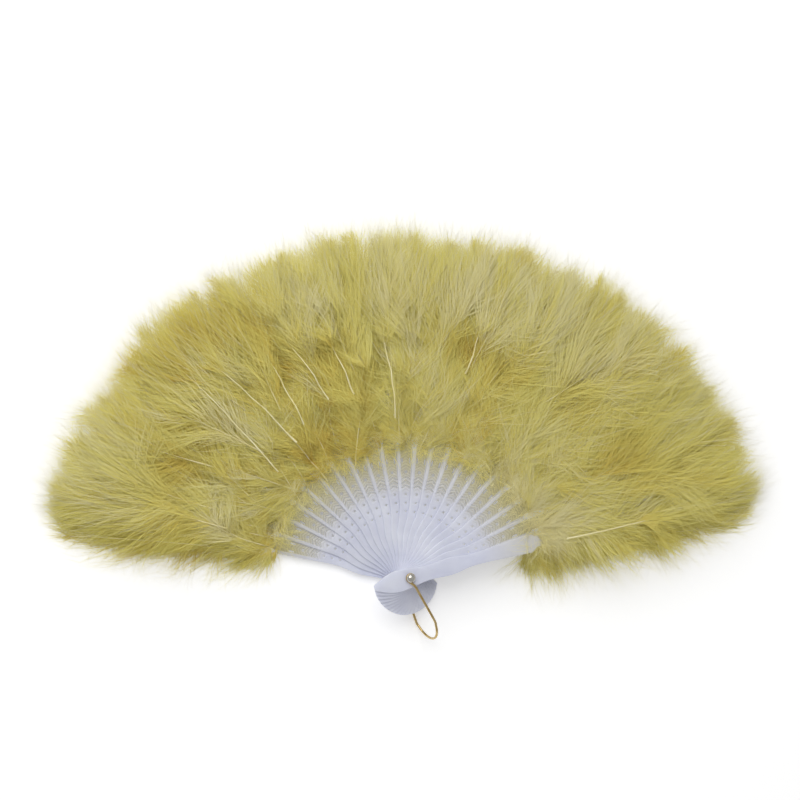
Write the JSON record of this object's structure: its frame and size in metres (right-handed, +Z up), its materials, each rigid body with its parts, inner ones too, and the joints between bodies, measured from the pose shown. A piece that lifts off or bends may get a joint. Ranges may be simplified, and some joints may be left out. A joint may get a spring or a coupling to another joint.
{
  "type": "feather fan",
  "caption": "Folding hand fan with pierced plastic staves on a rivet, fluffy down tufts on their outer halves and a gilt wire bail; turning the front guard folds it.",
  "frame": {"origin": "on the axis of the rivet, at the flat underside of its rear cap, on the table", "axes": "+Y from the rivet through the middle of the open fan, +X to its right seen from the front, +Z up out of its front along the rivet"},
  "size_m": [0.4799, 0.2661, 0.034],
  "materials": {
    "stave_plastic": "moulded white polystyrene, slightly translucent, satin gloss",
    "marabou_down": "dyed khaki marabou down with straw-coloured quills",
    "gilt_metal": "bright gilt wire",
    "nickel_steel": "polished nickel plate on the rivet and its cap"
  },
  "bodies": {
    "rear_leaf": {"rear_guard": "stave_plastic", "rear_guard_tuft": "marabou_down", "pivot_pin": "nickel_steel", "rivet_cap": "nickel_steel"},
    "front_leaf": {"front_guard": "stave_plastic", "front_guard_tuft": "marabou_down"},
    "leaf_01": {"inner_stave_01": "stave_plastic", "feather_tuft_01": "marabou_down"},
    "leaf_02": {"inner_stave_02": "stave_plastic", "feather_tuft_02": "marabou_down"},
    "leaf_03": {"inner_stave_03": "stave_plastic", "feather_tuft_03": "marabou_down"},
    "leaf_04": {"inner_stave_04": "stave_plastic", "feather_tuft_04": "marabou_down"},
    "leaf_05": {"inner_stave_05": "stave_plastic", "feather_tuft_05": "marabou_down"},
    "leaf_06": {"inner_stave_06": "stave_plastic", "feather_tuft_06": "marabou_down"},
    "leaf_07": {"inner_stave_07": "stave_plastic", "feather_tuft_07": "marabou_down"},
    "leaf_08": {"inner_stave_08": "stave_plastic", "feather_tuft_08": "marabou_down"},
    "leaf_09": {"inner_stave_09": "stave_plastic", "feather_tuft_09": "marabou_down"},
    "leaf_10": {"inner_stave_10": "stave_plastic", "feather_tuft_10": "marabou_down"},
    "leaf_11": {"inner_stave_11": "stave_plastic", "feather_tuft_11": "marabou_down"},
    "leaf_12": {"inner_stave_12": "stave_plastic", "feather_tuft_12": "marabou_down"},
    "leaf_13": {"inner_stave_13": "stave_plastic", "feather_tuft_13": "marabou_down"},
    "leaf_14": {"inner_stave_14": "stave_plastic", "feather_tuft_14": "marabou_down"},
    "leaf_15": {"inner_stave_15": "stave_plastic", "feather_tuft_15": "marabou_down"},
    "leaf_16": {"inner_stave_16": "stave_plastic", "feather_tuft_16": "marabou_down"},
    "leaf_17": {"inner_stave_17": "stave_plastic", "feather_tuft_17": "marabou_down"},
    "leaf_18": {"inner_stave_18": "stave_plastic", "feather_tuft_18": "marabou_down"},
    "leaf_19": {"inner_stave_19": "stave_plastic", "feather_tuft_19": "marabou_down"},
    "bail": {"wire_bail": "gilt_metal"}
  },
  "joints": [
    {"name": "fan_fold", "type": "hinge", "parent": "rear_leaf", "child": "front_leaf", "pos_m": [0, 0, 0], "axis": [0, 0, 1], "range_deg": [0, 150], "deforming": ["front_guard_tuft", "rear_guard_tuft"]},
    {"name": "leaf_01_turn", "type": "hinge", "parent": "rear_leaf", "child": "leaf_01", "pos_m": [0, 0, 0], "axis": [0, 0, 1], "range_deg": [0, 142.5], "deforming": ["feather_tuft_01"]},
    {"name": "leaf_02_turn", "type": "hinge", "parent": "rear_leaf", "child": "leaf_02", "pos_m": [0, 0, 0], "axis": [0, 0, 1], "range_deg": [0, 135], "deforming": ["feather_tuft_02"]},
    {"name": "leaf_03_turn", "type": "hinge", "parent": "rear_leaf", "child": "leaf_03", "pos_m": [0, 0, 0], "axis": [0, 0, 1], "range_deg": [0, 127.5], "deforming": ["feather_tuft_03"]},
    {"name": "leaf_04_turn", "type": "hinge", "parent": "rear_leaf", "child": "leaf_04", "pos_m": [0, 0, 0], "axis": [0, 0, 1], "range_deg": [0, 120], "deforming": ["feather_tuft_04"]},
    {"name": "leaf_05_turn", "type": "hinge", "parent": "rear_leaf", "child": "leaf_05", "pos_m": [0, 0, 0], "axis": [0, 0, 1], "range_deg": [0, 112.5], "deforming": ["feather_tuft_05"]},
    {"name": "leaf_06_turn", "type": "hinge", "parent": "rear_leaf", "child": "leaf_06", "pos_m": [0, 0, 0], "axis": [0, 0, 1], "range_deg": [0, 105], "deforming": ["feather_tuft_06"]},
    {"name": "leaf_07_turn", "type": "hinge", "parent": "rear_leaf", "child": "leaf_07", "pos_m": [0, 0, 0], "axis": [0, 0, 1], "range_deg": [0, 97.5], "deforming": ["feather_tuft_07"]},
    {"name": "leaf_08_turn", "type": "hinge", "parent": "rear_leaf", "child": "leaf_08", "pos_m": [0, 0, 0], "axis": [0, 0, 1], "range_deg": [0, 90], "deforming": ["feather_tuft_08"]},
    {"name": "leaf_09_turn", "type": "hinge", "parent": "rear_leaf", "child": "leaf_09", "pos_m": [0, 0, 0], "axis": [0, 0, 1], "range_deg": [0, 82.5], "deforming": ["feather_tuft_09"]},
    {"name": "leaf_10_turn", "type": "hinge", "parent": "rear_leaf", "child": "leaf_10", "pos_m": [0, 0, 0], "axis": [0, 0, 1], "range_deg": [0, 75], "deforming": ["feather_tuft_10"]},
    {"name": "leaf_11_turn", "type": "hinge", "parent": "rear_leaf", "child": "leaf_11", "pos_m": [0, 0, 0], "axis": [0, 0, 1], "range_deg": [0, 67.5], "deforming": ["feather_tuft_11"]},
    {"name": "leaf_12_turn", "type": "hinge", "parent": "rear_leaf", "child": "leaf_12", "pos_m": [0, 0, 0], "axis": [0, 0, 1], "range_deg": [0, 60], "deforming": ["feather_tuft_12"]},
    {"name": "leaf_13_turn", "type": "hinge", "parent": "rear_leaf", "child": "leaf_13", "pos_m": [0, 0, 0], "axis": [0, 0, 1], "range_deg": [0, 52.5], "deforming": ["feather_tuft_13"]},
    {"name": "leaf_14_turn", "type": "hinge", "parent": "rear_leaf", "child": "leaf_14", "pos_m": [0, 0, 0], "axis": [0, 0, 1], "range_deg": [0, 45], "deforming": ["feather_tuft_14"]},
    {"name": "leaf_15_turn", "type": "hinge", "parent": "rear_leaf", "child": "leaf_15", "pos_m": [0, 0, 0], "axis": [0, 0, 1], "range_deg": [0, 37.5], "deforming": ["feather_tuft_15"]},
    {"name": "leaf_16_turn", "type": "hinge", "parent": "rear_leaf", "child": "leaf_16", "pos_m": [0, 0, 0], "axis": [0, 0, 1], "range_deg": [0, 30], "deforming": ["feather_tuft_16"]},
    {"name": "leaf_17_turn", "type": "hinge", "parent": "rear_leaf", "child": "leaf_17", "pos_m": [0, 0, 0], "axis": [0, 0, 1], "range_deg": [0, 22.5], "deforming": ["feather_tuft_17"]},
    {"name": "leaf_18_turn", "type": "hinge", "parent": "rear_leaf", "child": "leaf_18", "pos_m": [0, 0, 0], "axis": [0, 0, 1], "range_deg": [0, 15], "deforming": ["feather_tuft_18"]},
    {"name": "leaf_19_turn", "type": "hinge", "parent": "rear_leaf", "child": "leaf_19", "pos_m": [0, 0, 0], "axis": [0, 0, 1], "range_deg": [0, 7.5], "deforming": ["feather_tuft_19"]},
    {"name": "bail_swing", "type": "hinge", "parent": "rear_leaf", "child": "bail", "pos_m": [0, 0, 0], "axis": [0, 0, 1], "range_deg": [-105, 50]}
  ],
  "couplings": [
    {"joint": "leaf_01_turn", "follows": "fan_fold", "ratio": 0.95},
    {"joint": "leaf_02_turn", "follows": "fan_fold", "ratio": 0.9},
    {"joint": "leaf_03_turn", "follows": "fan_fold", "ratio": 0.85},
    {"joint": "leaf_04_turn", "follows": "fan_fold", "ratio": 0.8},
    {"joint": "leaf_05_turn", "follows": "fan_fold", "ratio": 0.75},
    {"joint": "leaf_06_turn", "follows": "fan_fold", "ratio": 0.7},
    {"joint": "leaf_07_turn", "follows": "fan_fold", "ratio": 0.65},
    {"joint": "leaf_08_turn", "follows": "fan_fold", "ratio": 0.6},
    {"joint": "leaf_09_turn", "follows": "fan_fold", "ratio": 0.55},
    {"joint": "leaf_10_turn", "follows": "fan_fold", "ratio": 0.5},
    {"joint": "leaf_11_turn", "follows": "fan_fold", "ratio": 0.45},
    {"joint": "leaf_12_turn", "follows": "fan_fold", "ratio": 0.4},
    {"joint": "leaf_13_turn", "follows": "fan_fold", "ratio": 0.35},
    {"joint": "leaf_14_turn", "follows": "fan_fold", "ratio": 0.3},
    {"joint": "leaf_15_turn", "follows": "fan_fold", "ratio": 0.25},
    {"joint": "leaf_16_turn", "follows": "fan_fold", "ratio": 0.2},
    {"joint": "leaf_17_turn", "follows": "fan_fold", "ratio": 0.15},
    {"joint": "leaf_18_turn", "follows": "fan_fold", "ratio": 0.1},
    {"joint": "leaf_19_turn", "follows": "fan_fold", "ratio": 0.05}
  ]
}
